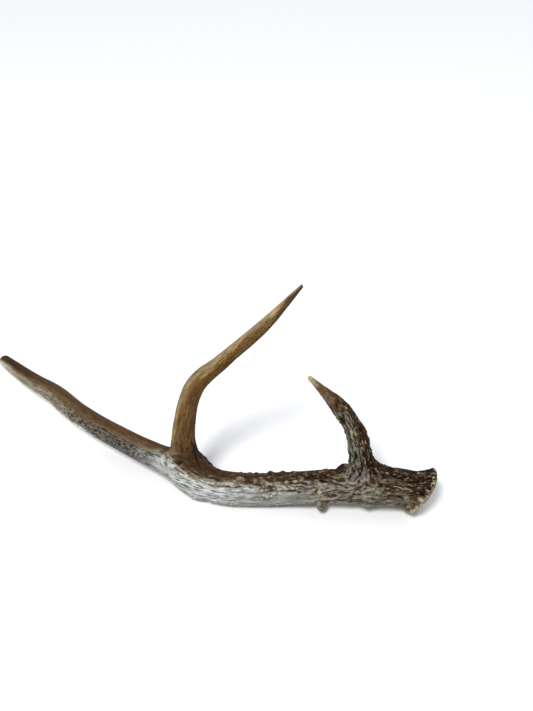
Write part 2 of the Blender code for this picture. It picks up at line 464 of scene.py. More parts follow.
# Knobs of the beam that show: distance from the burr, degrees from the top towards the
# camera, half width, height, how much longer than wide, how much cream they show, and how dark
# their moat is painted, as dirt and painted shade.
BEAM_KNOBS = (
    (0.0985, 62, 0.0026, 0.0024, 1.1, 0.95, 1.1),
    (0.1289, 22, 0.0019, 0.0017, 1.7, 0.75, 1.0),
    (0.1206, 22, 0.0019, 0.0016, 1.7, 0.75, 1.0),
    (0.1455, -34, 0.0036, 0.0022, 1.0, 0.30, 0.8),
    (0.1331, -32, 0.0030, 0.0016, 1.1, 0.30, 0.8),
    (0.1141, 10, 0.0022, 0.0015, 1.6, 0.55, 0.9),
    (0.1078, 28, 0.0022, 0.0014, 1.5, 0.50, 0.9),
    (0.1469, 2, 0.0024, 0.0015, 1.2, 0.55, 0.9),
    (0.1190, 48, 0.0019, 0.0012, 1.0, 0.60, 1.0),
    (0.1601, 14, 0.0026, 0.0016, 1.3, 0.60, 0.9),
    (0.1746, 4, 0.0028, 0.0013, 1.5, 0.60, 0.8),
    (0.1590, -32, 0.0020, 0.0012, 1.2, 0.20, 0.8),
    (0.0992, 130, 0.0054, 0.0072, 1.0, 0.0, 1.2),
    (0.0576, 128, 0.0036, 0.0022, 1.5, 0.0, 0.9),
    (0.0755, -32, 0.0052, 0.0042, 1.5, 0.0, 0.2),
    (0.4000, 132, 0.0060, 0.0008, 1.8, 0.0, 0.0),
)

# A ring of small knobs like a flower: distance from the burr, then degrees.
KNOB_RING_AT = (0.1478, 50)
KNOB_RING_RADIUS = 0.0062
KNOB_RING_COUNT = 9
BEAM_RADIUS_AT_RING = 0.0155
RING_KNOB_HALF_WIDTH = 0.0021
RING_KNOB_VARIES = 0.0006
RING_KNOB_HEIGHT = 0.0018
RING_KNOB_CREAM = 0.50
RING_KNOB_MOAT = 0.95

# Pearls are set at random, no nearer to each other than this.
PEARL_SEED = 12
PEARLS = 420
PEARL_SPACING = 0.0030
PEARL_HALF_WIDTHS = (0.0008, 0.0016)
# Their height is this share of their half width, and they are this much longer than wide.
PEARL_HEIGHTS = (0.35, 0.62)
PEARL_LENGTHS = (1.1, 2.3)
# How much cream they show, and how many in one do.
PEARL_CREAM = (0.25, 0.50, 0.75)
PEARL_CREAM_ODDS = (0.50, 0.32, 0.18)
PEARL_MOAT = 0.5
BROW_PEARL_SHARE = 0.12
BROW_PEARL_PLACES = (0.018, 0.085)
BEAM_PEARLS_START = 0.006
BEAM_PEARLS_RUN = 0.235
PEARLS_THIN_OUT = 1.25
# Past here they show only this share of their cream.
CREAM_PEARLS_END = 0.09
DULL_PEARLS = 0.6
# The radii on which their spacing round each branch is measured.
BROW_ROUND = 0.010
BEAM_ROUND = 0.016

# Teeth of the burr's rim, none quite like the next.
TOOTH_SEED = 5
TEETH = 31
RIM_RADIUS = 0.022
TOOTH_SHIFT = 0.38
TOOTH_BACK = (0.0014, 0.0048)
# A small tooth's size, how much more a large one has, and the shares that it varies between.
TOOTH_SIZES = {
    "half_width": (0.0016, 0.0007, 0.75, 1.15),
    "height": (0.0014, 0.0006, 0.65, 1.30),
    "longer": (2.0, 1.0, 0.60, 1.40),
    "cream": (0.78, 0.22, 0.85, 1.15),
}

# A knob's moat, sunk and painted dark as dirt and painted shade, lies this many half widths out,
# and is this wide.
MOAT_AT = 1.25
MOAT_WIDTH = 0.36
# The power that rounds a knob's shoulders.
KNOB_SHOULDER = 0.8
# A knob hides what lies under it once it stands this high.
KNOB_COVERS = 0.0004


def knob(branch, place, degrees, half_width, height, longer, cream, moat):
    return {
        "at": drawn_to_skin(np.array([branch.point(place, degrees)]), KNOB_ROUNDS)[0],
        "way": branch.pick(branch.directions, branch.marks_at(place))[0],
        "half_width": half_width,
        "height": height,
        "longer": longer,
        "cream": cream,
        "moat": moat,
    }


def shown_knobs():
    knobs = [knob(beam, *row) for row in BEAM_KNOBS]
    place, degrees = KNOB_RING_AT
    for number in range(KNOB_RING_COUNT):
        turn = 2 * math.pi * number / KNOB_RING_COUNT
        there = place + KNOB_RING_RADIUS * math.cos(turn)
        aside = math.degrees(KNOB_RING_RADIUS * math.sin(turn) / BEAM_RADIUS_AT_RING)
        half_width = RING_KNOB_HALF_WIDTH + RING_KNOB_VARIES * math.sin(3.7 * number)
        round_knob = (half_width, RING_KNOB_HEIGHT, 1.0, RING_KNOB_CREAM, RING_KNOB_MOAT)
        knobs.append(knob(beam, there, degrees + aside, *round_knob))
    return knobs


def pearls():
    """Small pearls of bone, thick at the burr and thinning out towards the bend."""
    rng = np.random.default_rng(PEARL_SEED)
    made, spots = [], []
    while len(made) < PEARLS:
        if rng.random() < BROW_PEARL_SHARE:
            branch, place, circle = brow, rng.uniform(*BROW_PEARL_PLACES), BROW_ROUND
        else:
            place = BEAM_PEARLS_RUN * rng.random() ** PEARLS_THIN_OUT + BEAM_PEARLS_START
            branch, circle = beam, BEAM_ROUND
        degrees = rng.uniform(-180, 180)
        # The last number keeps the two branches' spots a metre apart.
        spot = np.array([place, math.radians(degrees) * circle, 1.0 if branch is brow else 0.0])
        half_width = rng.uniform(*PEARL_HALF_WIDTHS)
        if spots and np.linalg.norm(np.array(spots) - spot, axis=1).min() < PEARL_SPACING:
            continue
        spots.append(spot)
        height = half_width * rng.uniform(*PEARL_HEIGHTS)
        cream = rng.choice(PEARL_CREAM, p=PEARL_CREAM_ODDS)
        cream *= 1.0 if place < CREAM_PEARLS_END else DULL_PEARLS
        longer = rng.uniform(*PEARL_LENGTHS)
        made.append(knob(branch, place, degrees, half_width, height, longer, cream, PEARL_MOAT))
    return made


def crown_teeth():
    """The knobs of the burr's rim, like short fingers laid back along the beam."""
    rng = np.random.default_rng(TOOTH_SEED)
    teeth = []
    for number in range(TEETH):
        turn = 2 * math.pi * (number + rng.uniform(-TOOTH_SHIFT, TOOTH_SHIFT)) / TEETH
        out = math.cos(turn) * BURR_ACROSS + math.sin(turn) * BURR_UPWARD
        back = rng.uniform(*TOOTH_BACK)
        large = low_side(out)
        start = SEAL_CENTRE - back * BURR_NORMAL + RIM_RADIUS * out
        tooth = {"at": drawn_to_skin(np.array([start]), KNOB_ROUNDS)[0], "way": -BURR_NORMAL}
        for name, (small, more, least, most) in TOOTH_SIZES.items():
            tooth[name] = (small + more * large) * rng.uniform(least, most)
        tooth["cream"] = min(1.0, tooth["cream"])
        tooth["moat"] = 1.0
        teeth.append(tooth)
    return teeth


def raise_knobs(points, knobs):
    """How far the knobs lift each point, the moat round them and how much cream they bare."""
    lift, moat, cream = np.zeros((3, len(points)))
    order = np.argsort(points[:, 0])
    sorted_x = points[order, 0]
    for one in knobs:
        reach = 1.6 * one["half_width"] * one["longer"]
        first, last = np.searchsorted(sorted_x, (one["at"][0] - reach, one["at"][0] + reach))
        some = order[first:last]
        arm = points[some] - one["at"]
        along = arm @ one["way"]
        square = np.maximum(dot(arm, arm) - along**2, 0.0) + (along / one["longer"]) ** 2
        u = np.sqrt(square) / one["half_width"]
        top = np.clip(1.0 - u * u, 0.0, 1.0) ** KNOB_SHOULDER
        lift[some] = np.maximum(lift[some], one["height"] * top)
        moat[some] = np.maximum(moat[some], one["moat"] * bell(u - MOAT_AT, MOAT_WIDTH))
        cream[some] = np.maximum(cream[some], one["cream"] * top)
    moat *= np.clip(1.0 - lift / KNOB_COVERS, 0.0, 1.0)
    return lift, moat, cream


# ------------ how the skin is carved

FURROW_DEPTH = 0.0011
FINE_DEPTH = 0.0009
# Where in its noise a furrow ends and a ridge's top begins.
BROAD_TOPS = (-1.5, 0.1)
FINE_TOPS = (-1.5, 0.3)
# The smooth skin lies at this share of a furrow's height.
FURROW_LEVEL = 0.8
SWELL_HEIGHT = 0.0005
MOAT_DEPTH = 0.0005
BROW_LUMPS = 0.0013
BROW_LUMP_CELL = 0.0075
BROW_LUMPS_END = (0.100, 0.080)
# A knob has the furrows of rough bone on it once it stands this high, and fills this share of
# the broad ones under it from this height on.
ROUGH_KNOB = 0.004
KNOB_FILLS = 0.6
KNOB_FILLS_FROM = 0.001

SEAL_GRAIN = 0.0022
SEAL_ROUGH = 0.0006
SEAL_PITS = 0.0018
SEAL_PIT_DEPTH = 0.0006
PIT_WALLS = (0.02, 0.28)
SEAL_BEGINS = (-0.0012, -0.0002)
SEAL_ENDS = 0.004

# The low side of the beam is worn smoother: its middle, how far round the wear starts and is
# full, how uneven that is, all in degrees, and the distance from the burr that it starts at.
WORN_MIDDLE = 122.0
WORN_EDGE = (84.0, 58.0)
WORN_UNEVEN = 30.0
WORN_START = (0.085, 0.125)
WORN_SMOOTHER = 0.70


def read_skin(points):
    """What is known of each point of the smooth skin."""
    at_beam, at_brow, at_second = beam.read(points), brow.read(points), second.read(points)
    brow_share, second_share = tine_shares(at_beam, at_brow, at_second)
    behind = behind_seal(points)
    return {
        "points": points,
        "out": unit(skin_gap(points)[1]),
        "at_beam": at_beam,
        "at_brow": at_brow,
        "at_second": at_second,
        "place": at_beam["place"],
        "degrees": np.degrees(at_beam["angle"]),
        "brow_share": brow_share,
        "second_share": second_share,
        "tine_share": np.maximum(brow_share, second_share),
        "behind": behind,
        "seal": step_between(seal_gap(points)[0], *SEAL_BEGINS) * (behind < SEAL_ENDS),
        "swell": noise_at(points / SWELLS + 5.1),
    }


def read_grain(skin):
    """The furrows' noise at each point, the tops of their ridges, and the seal's pits."""
    points = skin["points"]
    trail = grain_trails(points)
    nearer = trail[: TRAIL_STEPS - 1] + trail[TRAIL_STEPS + 1 : -2]
    broad = drawn_out(trail, BROAD_FURROWS, 3.7)
    fine = drawn_out(nearer, FINE_FURROWS, 11.3)
    return {
        "broad": broad,
        "fine": fine,
        "streaky": drawn_out(trail, STREAKS_TO_FURROWS * BROAD_FURROWS, 23.9),
        "top": step_between(broad, *BROAD_TOPS),
        "fine_top": step_between(fine, *FINE_TOPS),
        "grainy": noise_at(points / SEAL_GRAIN),
        "pits": skin["seal"] * step_between(noise_at(points / SEAL_PITS + 7.3), *PIT_WALLS),
    }


def how_rough(skin, lift):
    """0 where the bone is smooth, 1 where it is like bark."""
    place, seal = skin["place"], skin["seal"]
    worn = off_middle(skin["degrees"], WORN_MIDDLE) + WORN_UNEVEN * skin["swell"]
    worn = WORN_SMOOTHER * step_between(worn, *WORN_EDGE) * step_between(place, *WORN_START)
    rough = along_table(BEAM_ROUGH, place) * (1.0 - worn)
    rough = np.maximum(rough, np.clip(lift / ROUGH_KNOB, 0.0, 0.8))
    for name, table in (("brow", BROW_ROUGH), ("second", SECOND_ROUGH)):
        on_tine = along_table(table, skin["at_" + name]["place"])
        rough = blend(rough, on_tine, skin[name + "_share"])
    return rough * (1.0 - seal)


def carved_height(skin, grain, rough, lift, moat):
    """How far the carved skin stands out from the smooth one."""
    height = SWELL_HEIGHT * skin["swell"] * (0.4 + 0.6 * rough)
    under_knob = KNOB_FILLS * np.clip(lift / KNOB_FILLS_FROM, 0.0, 1.0)
    height += rough * FURROW_DEPTH * (grain["top"] - FURROW_LEVEL) * (1.0 - under_knob)
    height += rough * FINE_DEPTH * (grain["fine_top"] - FURROW_LEVEL)
    height += lift - MOAT_DEPTH * moat
    lumpy = skin["brow_share"] * step_between(skin["at_brow"]["place"], *BROW_LUMPS_END)
    height += BROW_LUMPS * lumpy * noise_at(skin["points"] / BROW_LUMP_CELL + 2.9)
    height += skin["seal"] * SEAL_ROUGH * grain["grainy"] - SEAL_PIT_DEPTH * grain["pits"]
    return height


# ------------ where stain, dirt, painted shade and painted light lie

# The stained side of the beam is centred on these degrees. Distance from the burr, half width.
STAIN_MIDDLE = -30.0
BEAM_STAIN = (
    (0.0, 96), (0.015, 90), (0.033, 76), (0.048, 62), (0.065, 46), (0.076, 38), (0.09, 46),
    (0.105, 60), (0.12, 56), (0.15, 60), (0.18, 52), (0.205, 58), (0.222, 59), (0.235, 55),
    (0.255, 51), (0.27, 50), (0.29, 52), (0.31, 54), (0.34, 56), (0.37, 58), (0.41, 60),
    (0.45, 66), (0.48, 74), (0.52, 82),
)
# How softly its edge fades, in degrees each way.
STAIN_EDGE = (
    (0.0, 13), (0.06, 15), (0.10, 20), (0.18, 19), (0.22, 17),
    (0.26, 20), (0.30, 32), (0.40, 34), (0.47, 26),
)
# Swells and streaks make its edge uneven by this many degrees, and less so at the bend, which
# is this far from the burr and runs this far each way.
SWELL_STAIN = 9.0
STREAK_STAIN = 11.0
EVEN_BEND = 0.6
BEND_AT = 0.210
BEND_RUN = 0.038
# The stain reaches this much further round, in degrees, at the foot of the second tine, which
# is so far from the tine in metres.
FOOT_STAIN = 12.0
FOOT_REACH = (0.0065, 0.0010)

# The tines' stains in degrees: middle, half width, how much wider it is at the tine's foot, how
# uneven streaks make it, and its edge each way.
TINE_STAINS = {"brow": (-95.0, 88.0, 0.0, 25.0, 14.0), "second": (-60.0, 97.0, 26.0, 8.0, 30.0)}
# A tine's foot ends between these distances from its base.
TINE_FOOT = (0.068, 0.045)

# How white the underside is painted, partly as bleached bone and partly as painted light:
# distance from the burr, then 0 for not to 1 for white.
BEAM_BLEACH_AND_LIGHT = ((0.325, 0.0), (0.35, 0.7), (0.37, 0.9), (0.42, 1.0), (0.46, 0.6), (0.50, 0.4))
BLEACH_AND_LIGHT_MIDDLE = 165.0
BLEACH_AND_LIGHT_EDGE = (84.0, 58.0)
BLEACH_AND_LIGHT_UNEVEN = 16.0

# How dark the open pores are: distance from the burr, then 0 for none to 1 for black.
BEAM_PORES = (
    (0.10, 0.0), (0.14, 0.3), (0.20, 0.7), (0.27, 0.9),
    (0.31, 1.0), (0.37, 0.9), (0.41, 0.6), (0.46, 0.2),
)
# They crowd on the side that faces the camera, and on the web under the second tine.
PORES_MIDDLE = 82.0
PORES_EDGE = (66.0, 38.0)
WEB_AT = 0.224
WEB_RUN = 0.034
WEB_MIDDLE = -10.0
WEB_EDGE = (70.0, 40.0)
TINE_PORES_END = (0.07, 0.03)

# The burr's rim is rubbed to cream from here back, and further back on its low side.
RIM_BACK = (0.0030, 0.0010)
RIM_LOW_BACK = 0.004
RIM_UNEVEN = 0.0010
RIM_FRONT = -0.004


def side_stain(degrees, middle, spread, edge):
    """1 within the spread of the middle, 0 outside it, fading over the edge each way."""
    return 1.0 - step_between((off_middle(degrees, middle) - spread) / edge, -1.0, 1.0)


def stain_at(skin, grain, rough):
    """1 on the side that is brown with sap and dirt, 0 on the bare side."""
    place, streaky = skin["place"], grain["streaky"]
    uneven = SWELL_STAIN * skin["swell"] + STREAK_STAIN * (0.30 + 0.70 * rough) * streaky
    uneven = uneven * (1.0 - EVEN_BEND * bell(place - BEND_AT, BEND_RUN))
    foot = FOOT_STAIN * step_between(skin["at_second"]["gap"], *FOOT_REACH)
    spread = along_table(BEAM_STAIN, place) + uneven + foot
    edge = along_table(STAIN_EDGE, place)
    stain = side_stain(skin["degrees"], STAIN_MIDDLE, spread, edge)

    for name, (middle, width, wider, streaks, edge) in TINE_STAINS.items():
        at_tine = skin["at_" + name]
        foot = wider * step_between(at_tine["place"], *TINE_FOOT)
        spread = width + foot + streaks * streaky
        on_tine = side_stain(np.degrees(at_tine["angle"]), middle, spread, edge)
        stain = blend(stain, on_tine, skin[name + "_share"])
    return stain


def dirt_and_shade_at(grain, rough, moat, cream):
    """How deep in a furrow, a moat or a pit of the seal each point lies: how much dirt and painted
    shade darken it.
    """
    furrow = 0.65 * (1.0 - grain["top"]) + 0.95 * (1.0 - grain["fine_top"])
    furrow = np.clip(furrow, 0.0, 1.3) * np.clip(1.4 * rough, 0.0, 1.0)
    furrow = np.maximum(furrow, 0.85 * moat) * (1.0 - 0.8 * cream)
    return np.maximum(furrow, 0.55 * grain["pits"])


# How white the underside is painted: partly bleached bone, partly painted light.
def bleach_and_light_at(skin):
    bleach_and_light = off_middle(skin["degrees"], BLEACH_AND_LIGHT_MIDDLE) + BLEACH_AND_LIGHT_UNEVEN * skin["swell"]
    bleach_and_light = step_between(bleach_and_light, *BLEACH_AND_LIGHT_EDGE) * along_table(BEAM_BLEACH_AND_LIGHT, skin["place"])
    return bleach_and_light * (1.0 - skin["tine_share"])


def pores_at(skin, grain):
    """How dark the open pores are at each point."""
    degrees, place = skin["degrees"], skin["place"]
    side = off_middle(degrees, PORES_MIDDLE) + 8.0 * grain["streaky"]
    pores = (0.25 + 0.75 * step_between(side, *PORES_EDGE)) * along_table(BEAM_PORES, place)
    web = bell(place - WEB_AT, WEB_RUN)
    web = web * step_between(off_middle(degrees, WEB_MIDDLE), *WEB_EDGE)
    on_tine = 0.35 + 0.45 * step_between(skin["at_second"]["place"], *TINE_PORES_END)
    return blend(np.maximum(pores, web), on_tine, skin["tine_share"])


def rim_at(skin, grain):
    """How far the burr's rim is rubbed to cream."""
    low = low_side(skin["at_beam"]["out"])
    back = skin["behind"] + RIM_UNEVEN * grain["grainy"] - RIM_LOW_BACK * low**3
    rim = step_between(back, *RIM_BACK) * (skin["behind"] > RIM_FRONT)
    return rim * (0.50 + 0.45 * low)


def grain_place(there):
    """Where each point lies in the bone laid out straight, in millimetres."""
    across = there["radius"] * np.sin(there["angle"])
    upward = there["radius"] * np.cos(there["angle"])
    return 1000.0 * np.stack([there["place"], across, upward], axis=1)


def carve(piece):
    """Carves the skin and keeps on the mesh what its material is painted from."""
    skin = read_skin(mesh_points(piece.data))
    lift, moat, cream = raise_knobs(skin["points"], shown_knobs() + pearls() + crown_teeth())
    rough = how_rough(skin, lift)
    grain = read_grain(skin)
    height = carved_height(skin, grain, rough, lift, moat)
    carved = skin["points"] + height[:, None] * skin["out"]
    carved[:, 2] = np.maximum(carved[:, 2], 0.0)
    set_mesh_points(piece.data, carved)

    on_second = skin["second_share"] > skin["brow_share"]
    at_tine = {
        name: np.where(on_second, skin["at_second"][name], skin["at_brow"][name])
        for name in ("place", "angle", "radius")
    }
    ridges = 0.5 * np.clip(grain["broad"], 0, 2) + 0.5 * np.clip(grain["fine"], 0, 2)
    numbers = {
        "beam_place": skin["place"] / beam.length,
        "tine_place": at_tine["place"] / np.where(on_second, second.length, brow.length),
        "brow_share": skin["brow_share"],
        "second_share": skin["second_share"],
        "stain": stain_at(skin, grain, rough),
        "furrow": dirt_and_shade_at(grain, rough, moat, cream),
        "bleach_and_light": bleach_and_light_at(skin),
        "ridge": np.clip(rough * ridges, 0.0, 1.0),
        "cream": np.maximum(cream, rim_at(skin, grain)) * (1.0 - skin["seal"]),
        "pores": pores_at(skin, grain),
        "seal": skin["seal"],
    }
    new_attribute = piece.data.attributes.new
    for name, there in (("beam_grain", skin["at_beam"]), ("tine_grain", at_tine)):
        places = grain_place(there).astype(np.float32)
        new_attribute(name, "FLOAT_VECTOR", "POINT").data.foreach_set("vector", places.ravel())
    for name, values in numbers.items():
        values = values.astype(np.float32)
        new_attribute(name, "FLOAT", "POINT").data.foreach_set("value", values)
    return list(numbers)


def thin_smooth_places(piece):
    """Thins the skin's mesh where it is smooth, until it has few enough triangles."""
    triangles = sum(len(face.vertices) - 2 for face in piece.data.polygons)
    if triangles > MOST_TRIANGLES:
        change = piece.modifiers.new("thinned", "DECIMATE")
        change.ratio = MOST_TRIANGLES / triangles
        take_change(piece, change)


# ------------ the bone's finish

# Weathered antler is dense dry bone that no one has polished. Bone bends light as glass does,
# but dust and open grain leave almost none of its gloss. Only rubbed ridges keep a dull sheen.
BONE_IOR = 1.5
BONE_METALLIC = 0.0
BONE_GLOSS = 0.07
RIDGE_ROUGHNESS = 0.52
FURROW_ROUGHNESS = 0.80
STREAK_RELIEF = 0.6
RELIEF_STRENGTH = 0.5
RELIEF_DEPTH = 0.0004

# Patterns drawn along the bone: length and width of their cells in millimetres. Real streaks
# are about as large as these.
BROAD_STREAKS = (26.0, 3.6)
STREAKS = (9.0, 1.3)
# Real pores are some 0.3 mm wide and specks and flecks finer than 1 mm. All would be too fine
# to show, so they are drawn this coarse.
LONG_PORES = (8.0, 1.5)
SHORT_PORES = (3.8, 1.9)
SPECKS = (2.8, 1.8)
FLECKS = (4.0, 1.3)

# Colours from base to tip: share of the branch's length, then the colour. The stained side is
# brown with sap and bark, the bare side is grey to cream, and the furrows are painted dark,
# partly as dirt and partly as painted shade.
BEAM_STAINED = (
    (0.0, "#2a1607"), (0.06, "#352010"), (0.10, "#362211"), (0.20, "#3a2817"),
    (0.30, "#443220"), (0.36, "#412e1a"), (0.44, "#47311a"), (0.55, "#573f25"),
    (0.68, "#503a23"), (0.80, "#563f27"), (0.88, "#463320"), (0.96, "#3c2a1b"),
    (1.0, "#4c3a28"),
)
BROW_STAINED = ((0.0, "#2a1809"), (0.6, "#3a2611"), (0.90, "#604a2e"), (1.0, "#b9ab8c"))
SECOND_STAINED = (
    (0.0, "#3f2c17"), (0.18, "#563c1e"), (0.32, "#684c2a"),
    (0.50, "#60431f"), (0.8, "#685029"), (1.0, "#4f3c27"),
)
BEAM_BARE = (
    (0.0, "#696659"), (0.05, "#534f45"), (0.10, "#69665b"), (0.18, "#737167"),
    (0.24, "#8a8b83"), (0.30, "#9fa29d"), (0.40, "#bec1bc"), (0.47, "#b6b9b1"),
    (0.515, "#868580"), (0.56, "#64615a"), (0.60, "#615c53"), (0.67, "#6d665a"),
    (0.74, "#827b6d"), (0.82, "#867e6c"), (0.92, "#877f6a"), (0.97, "#c2c1b0"),
    (1.0, "#dedccb"),
)
BROW_BARE = (
    (0.0, "#67645a"), (0.3, "#5a574e"), (0.6, "#5a574e"), (0.90, "#72644d"), (1.0, "#c7bda4"),
)
SECOND_BARE = ((0.0, "#7d6c50"), (0.3, "#8a7756"), (0.7, "#96835f"), (1.0, "#a09070"))
# Dark colours for the furrows: dirt, and painted shade that deepens with the furrow.
BEAM_DIRT_AND_SHADE = (
    (0.0, "#140801"), (0.18, "#1d0f05"), (0.30, "#34200f"), (0.45, "#3b2814"), (1.0, "#3a2a1a"),
)
BROW_DIRT_AND_SHADE = ((0.0, "#150902"), (1.0, "#26170a"))
SECOND_DIRT_AND_SHADE = ((0.0, "#24160a"), (1.0, "#46311a"))
STAINED = (BEAM_STAINED, BROW_STAINED, SECOND_STAINED)
BARE = (BEAM_BARE, BROW_BARE, SECOND_BARE)
DIRT_AND_SHADE = (BEAM_DIRT_AND_SHADE, BROW_DIRT_AND_SHADE, SECOND_DIRT_AND_SHADE)
# Where the stain fades out the bone is tinged with honey.
HONEY = ((0.0, "#ffffff"), (0.30, "#fff6e2"), (0.70, "#ffefd2"), (1.0, "#ffffff"))
# Paler dirt and painted shade for the furrows on the bare side.
BEAM_BARE_DIRT_AND_SHADE = "#4b3829"
BROW_BARE_DIRT_AND_SHADE = "#261c13"
SEAL_COLOUR = "#b9ac92"
# White of the underside: bleached bone, and painted light.
BLEACHED_AND_LIT = "#eceae0"
PORE_DIRT = "#1a1008"
SPECK_DIRT = "#241509"
# Light flecks on the ridges: rubbed cream, and painted highlights.
FLECK_CREAM_AND_HIGHLIGHT = "#a59a84"
KNOB_CREAM = "#aa9e83"


def srgb(code):
    """A colour written as #rrggbb, made linear."""
    parts = [int(code[start : start + 2], 16) / 255 for start in (1, 3, 5)]
    linear = [(c + 0.055) ** 2.4 / 1.055**2.4 if c > 0.04045 else c / 12.92 for c in parts]
    return (*linear, 1.0)


def add_node(material, kind, settings=None, links=None, stops=()):
    """Adds a node with its settings, its links and the stops of its colours. A link comes from
    the socket it names, or from the first socket of the node it names."""
    made = material.node_tree.nodes.new(kind)
    for name, value in (settings or {}).items():
        if isinstance(name, int) or name in made.inputs:
            made.inputs[name].default_value = value
        else:
            setattr(made, name, value)
    for name, source in (links or {}).items():
        source = getattr(source, "outputs", [source])[0]
        material.node_tree.links.new(source, made.inputs[name])
    if stops:
        elements = made.color_ramp.elements
        while len(elements) < len(stops):
            elements.new(0.5)
        for element, (place, code) in zip(elements, stops):
            element.position = place
            element.color = srgb(code)
    return made


def brought(span, ends=(0.0, 1.0)):
    """The settings that bring a span of values to these ends and keep it inside them."""
    return {"From Min": span[0], "From Max": span[1], "To Min": ends[0], "To Max": ends[1]}


def read_from_skin(bone, names):
    """The numbers that are kept on the mesh, as the bone's material reads them."""
    kept = {}
    for name in names:
        kept[name] = add_node(bone, "ShaderNodeAttribute", {"attribute_name": name}).outputs["Fac"]
    shares = {0: kept["brow_share"], 1: kept["second_share"]}
    kept["tine_share"] = add_node(bone, "ShaderNodeMath", {"operation": "MAXIMUM"}, shares)
    return kept


def along_grain(bone, kept, cells, shift, detail, spots=False):
    """Noise with cells of this length and width, drawn along beam and tines. For spots, how far
    off the nearest of many scattered spots is."""
    long, wide = cells
    kind = "ShaderNodeTexVoronoi" if spots else "ShaderNodeTexNoise"
    patterns = {}
    for side, name in (("A", "beam_grain"), ("B", "tine_grain")):
        place = add_node(bone, "ShaderNodeAttribute", {"attribute_name": name}).outputs["Vector"]
        settings = {"operation": "MULTIPLY_ADD", 1: (1 / long, 1 / wide, 1 / wide), 2: (shift,) * 3}
        place = add_node(bone, "ShaderNodeVectorMath", settings, {0: place})
        patterns[side] = add_node(bone, kind, {"Scale": 1.0, "Detail": detail}, {"Vector": place})
    return add_node(bone, "ShaderNodeMix", links={"Factor": kept["tine_share"], **patterns})


def weakened(bone, pattern, by, span, shares):
    """The pattern, held to a share of itself that changes as another value crosses its span."""
    share = add_node(bone, "ShaderNodeMapRange", brought(span, shares), {"Value": by})
    return add_node(bone, "ShaderNodeMath", {"operation": "MULTIPLY"}, {0: pattern, 1: share})


def shaded(bone, colour, by, span, shades):
    """The colour, made darker or lighter as a pattern crosses its span."""
    shade = add_node(bone, "ShaderNodeMapRange", brought(span, shades), {"Value": by})
    grey = add_node(bone, "ShaderNodeCombineColor", links={0: shade, 1: shade, 2: shade})
    settings = {"blend_type": "MULTIPLY", "Fac": 1.0}
    return add_node(bone, "ShaderNodeMixRGB", settings, {"Color1": colour, "Color2": grey})


def base_to_tip(bone, kept, colours):
    """A colour for each point from the beam's and the tines' own runs of colour."""
    beam_stops, *tine_stops = colours
    links = {"Fac": kept["beam_place"]}
    colour = add_node(bone, "ShaderNodeValToRGB", links=links, stops=beam_stops)
    for share, stops in zip(("brow_share", "second_share"), tine_stops):
        links = {"Fac": kept["tine_place"]}
        on_tine = add_node(bone, "ShaderNodeValToRGB", links=links, stops=stops)
        links = {"Fac": kept[share], "Color1": colour, "Color2": on_tine}
        colour = add_node(bone, "ShaderNodeMixRGB", links=links)
    return colour


def stained_bone(bone, kept):
    """Bone that is bare on one side and stained brown on the other."""
    sides = {"Color1": base_to_tip(bone, kept, BARE), "Color2": base_to_tip(bone, kept, STAINED)}
    colour = add_node(bone, "ShaderNodeMixRGB", links={"Fac": kept["stain"], **sides})
    honey = add_node(bone, "ShaderNodeValToRGB", links={"Fac": kept["stain"]}, stops=HONEY)
    settings = {"blend_type": "MULTIPLY", "Fac": 1.0}
    return add_node(bone, "ShaderNodeMixRGB", settings, {"Color1": colour, "Color2": honey})


def furrow_dirt_and_shade(bone, kept):
    """Dirt and painted shade for the furrows: dark on the stained side, paler on the bare one, and
    darkest where deepest.
    """
    settings = {"Color1": srgb(BEAM_BARE_DIRT_AND_SHADE), "Color2": srgb(BROW_BARE_DIRT_AND_SHADE)}
    pale = add_node(bone, "ShaderNodeMixRGB", settings, {"Fac": kept["brow_share"]})
    dark = base_to_tip(bone, kept, DIRT_AND_SHADE)
    share = add_node(bone, "ShaderNodeMapRange", brought((0.0, 0.6)), {"Value": kept["stain"]})
    links = {"Fac": share, "Color1": pale, "Color2": dark}
    dirt_and_shade = add_node(bone, "ShaderNodeMixRGB", links=links)
    return shaded(bone, dirt_and_shade, kept["furrow"], span=(0.4, 1.2), shades=(1.3, 0.45))


def open_pores(bone, kept):
    """Small pores drawn out along the grain: long at the bend and short towards the tip."""
    long_pores = along_grain(bone, kept, LONG_PORES, shift=7.7, detail=1.0)
    long_pores = add_node(bone, "ShaderNodeMapRange", brought((0.52, 0.58)), {"Value": long_pores})
    crowds = along_grain(bone, kept, BROAD_STREAKS, shift=3.3, detail=1.0)
    long_pores = weakened(bone, long_pores, crowds, span=(0.36, 0.50), shares=(0.0, 1.0))
    short_pores = along_grain(bone, kept, SHORT_PORES, shift=17.7, detail=0.0, spots=True)
    settings, links = brought((0.55, 0.35)), {"Value": short_pores}
    short_pores = add_node(bone, "ShaderNodeMapRange", settings, links)
    short_pores = weakened(bone, short_pores, crowds, span=(0.36, 0.50), shares=(0.6, 1.0))
    short_pores = weakened(bone, short_pores, kept["stain"], span=(0.3, 0.9), shares=(1.0, 0.3))
    settings, place = brought((0.48, 0.56)), {"Value": kept["beam_place"]}
    past_bend = add_node(bone, "ShaderNodeMapRange", settings, place)
    links = {"Factor": past_bend, "A": long_pores, "B": short_pores}
    pores = add_node(bone, "ShaderNodeMix", links=links)
    return weakened(bone, pores, kept["pores"], span=(0.0, 1.0), shares=(0.0, 1.0))


